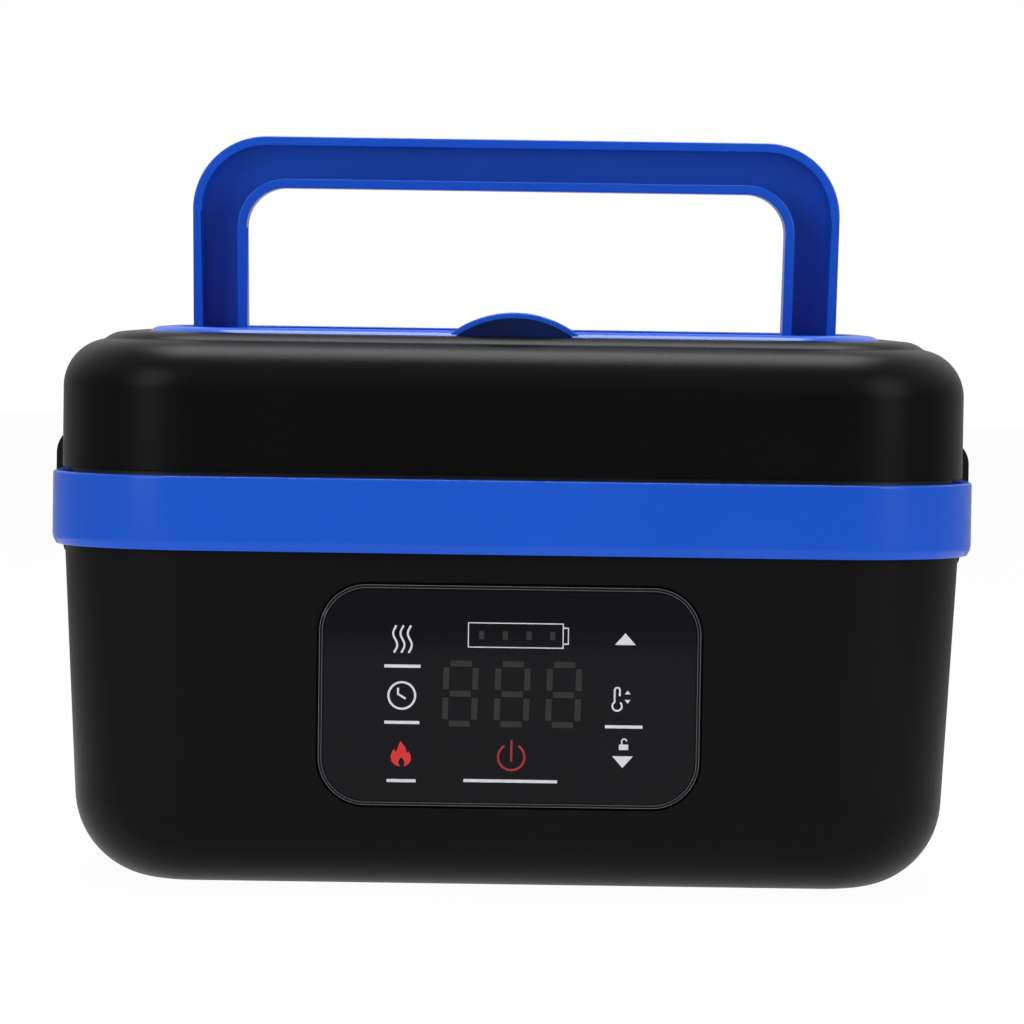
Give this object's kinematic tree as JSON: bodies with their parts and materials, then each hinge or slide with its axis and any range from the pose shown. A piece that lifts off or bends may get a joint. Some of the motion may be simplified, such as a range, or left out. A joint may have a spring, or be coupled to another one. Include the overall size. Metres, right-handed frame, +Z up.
{
  "type": "electric lunch box",
  "caption": "Cordless heated lunch box with a lift-off lid, fold-down carry handle, side latches, touch panel and a steel food container.",
  "frame": {"origin": "centre of the box on the surface that it stands on, under its four feet", "axes": "+Z up, -Y towards the front with the touch panel, +X to the user's right"},
  "size_m": [0.2732, 0.19, 0.2209],
  "materials": {
    "body_black": "fine-grained satin moulding",
    "lid_black": "fine-grained satin moulding",
    "gloss_blue": "polished moulding",
    "latch_black": "polished moulding",
    "panel_glass": "dark polished touch window with printed back",
    "inner_black": "plain moulding",
    "steel": "drawn and brushed stainless",
    "well_aluminium": "satin drawn sheet",
    "fastener_steel": "bright zinc",
    "silicone_white": "soft translucent silicone",
    "rubber_black": "matt rubber",
    "heater_film": "amber film over etched foil",
    "felt": "needled mineral felt",
    "cell_sleeve": "shrink sleeve",
    "nickel": "nickel strip",
    "board_green": "solder mask",
    "lead_red": "silicone insulated lead",
    "ribbon_grey": "flat cable"
  },
  "bodies": {
    "base": {"body_shell": "body_black", "base_cover": "inner_black", "cover_screws": "fastener_steel", "feet": "rubber_black", "trim_band": "gloss_blue", "heating_well": "well_aluminium", "heater_mat": "heater_film", "insulation": "felt", "thermal_fuse": "nickel", "temperature_sensor": "inner_black", "heater_leads": "lead_red", "battery_cells": "cell_sleeve", "cell_straps": "nickel", "battery_holder": "inner_black", "control_board": "board_green", "display_board": "board_green", "display_cable": "ribbon_grey", "touch_panel": "panel_glass", "charging_socket": "inner_black", "socket_nut": "fastener_steel", "charge_leads": "lead_red", "latch_pins": "fastener_steel"},
    "lid": {"lid_shell": "lid_black", "lid_insert": "gloss_blue", "lid_liner": "inner_black", "lid_seal": "silicone_white", "lid_screws": "fastener_steel"},
    "container": {"food_container": "steel"},
    "handle": {"carry_handle": "gloss_blue"},
    "vent": {"vent_plug": "silicone_white"},
    "latch_left": {"latch_left": "latch_black"},
    "latch_right": {"latch_right": "latch_black"}
  },
  "joints": [
    {"name": "lid_lift", "type": "slide", "parent": "base", "child": "lid", "axis": [0, 0, 1], "range_m": [0, 0.16]},
    {"name": "container_lift", "type": "slide", "parent": "base", "child": "container", "axis": [0, 0, 1], "range_m": [0, 0.08]},
    {"name": "handle_fold", "type": "hinge", "parent": "lid", "child": "handle", "pos_m": [0, 0, 0.1553], "axis": [-1, 0, 0], "range_deg": [0, 90]},
    {"name": "vent_lift", "type": "slide", "parent": "lid", "child": "vent", "axis": [0, 0, 1], "range_m": [0, 0.002]},
    {"name": "latch_left_swing", "type": "hinge", "parent": "base", "child": "latch_left", "pos_m": [-0.1322, 0, 0.097], "axis": [0, -1, 0], "range_deg": [0, 110]},
    {"name": "latch_right_swing", "type": "hinge", "parent": "base", "child": "latch_right", "pos_m": [0.1322, 0, 0.097], "axis": [0, 1, 0], "range_deg": [0, 110]}
  ],
  "couplings": [
    {"joint": "container_lift", "follows": "lid_lift", "ratio": 0.5}
  ]
}
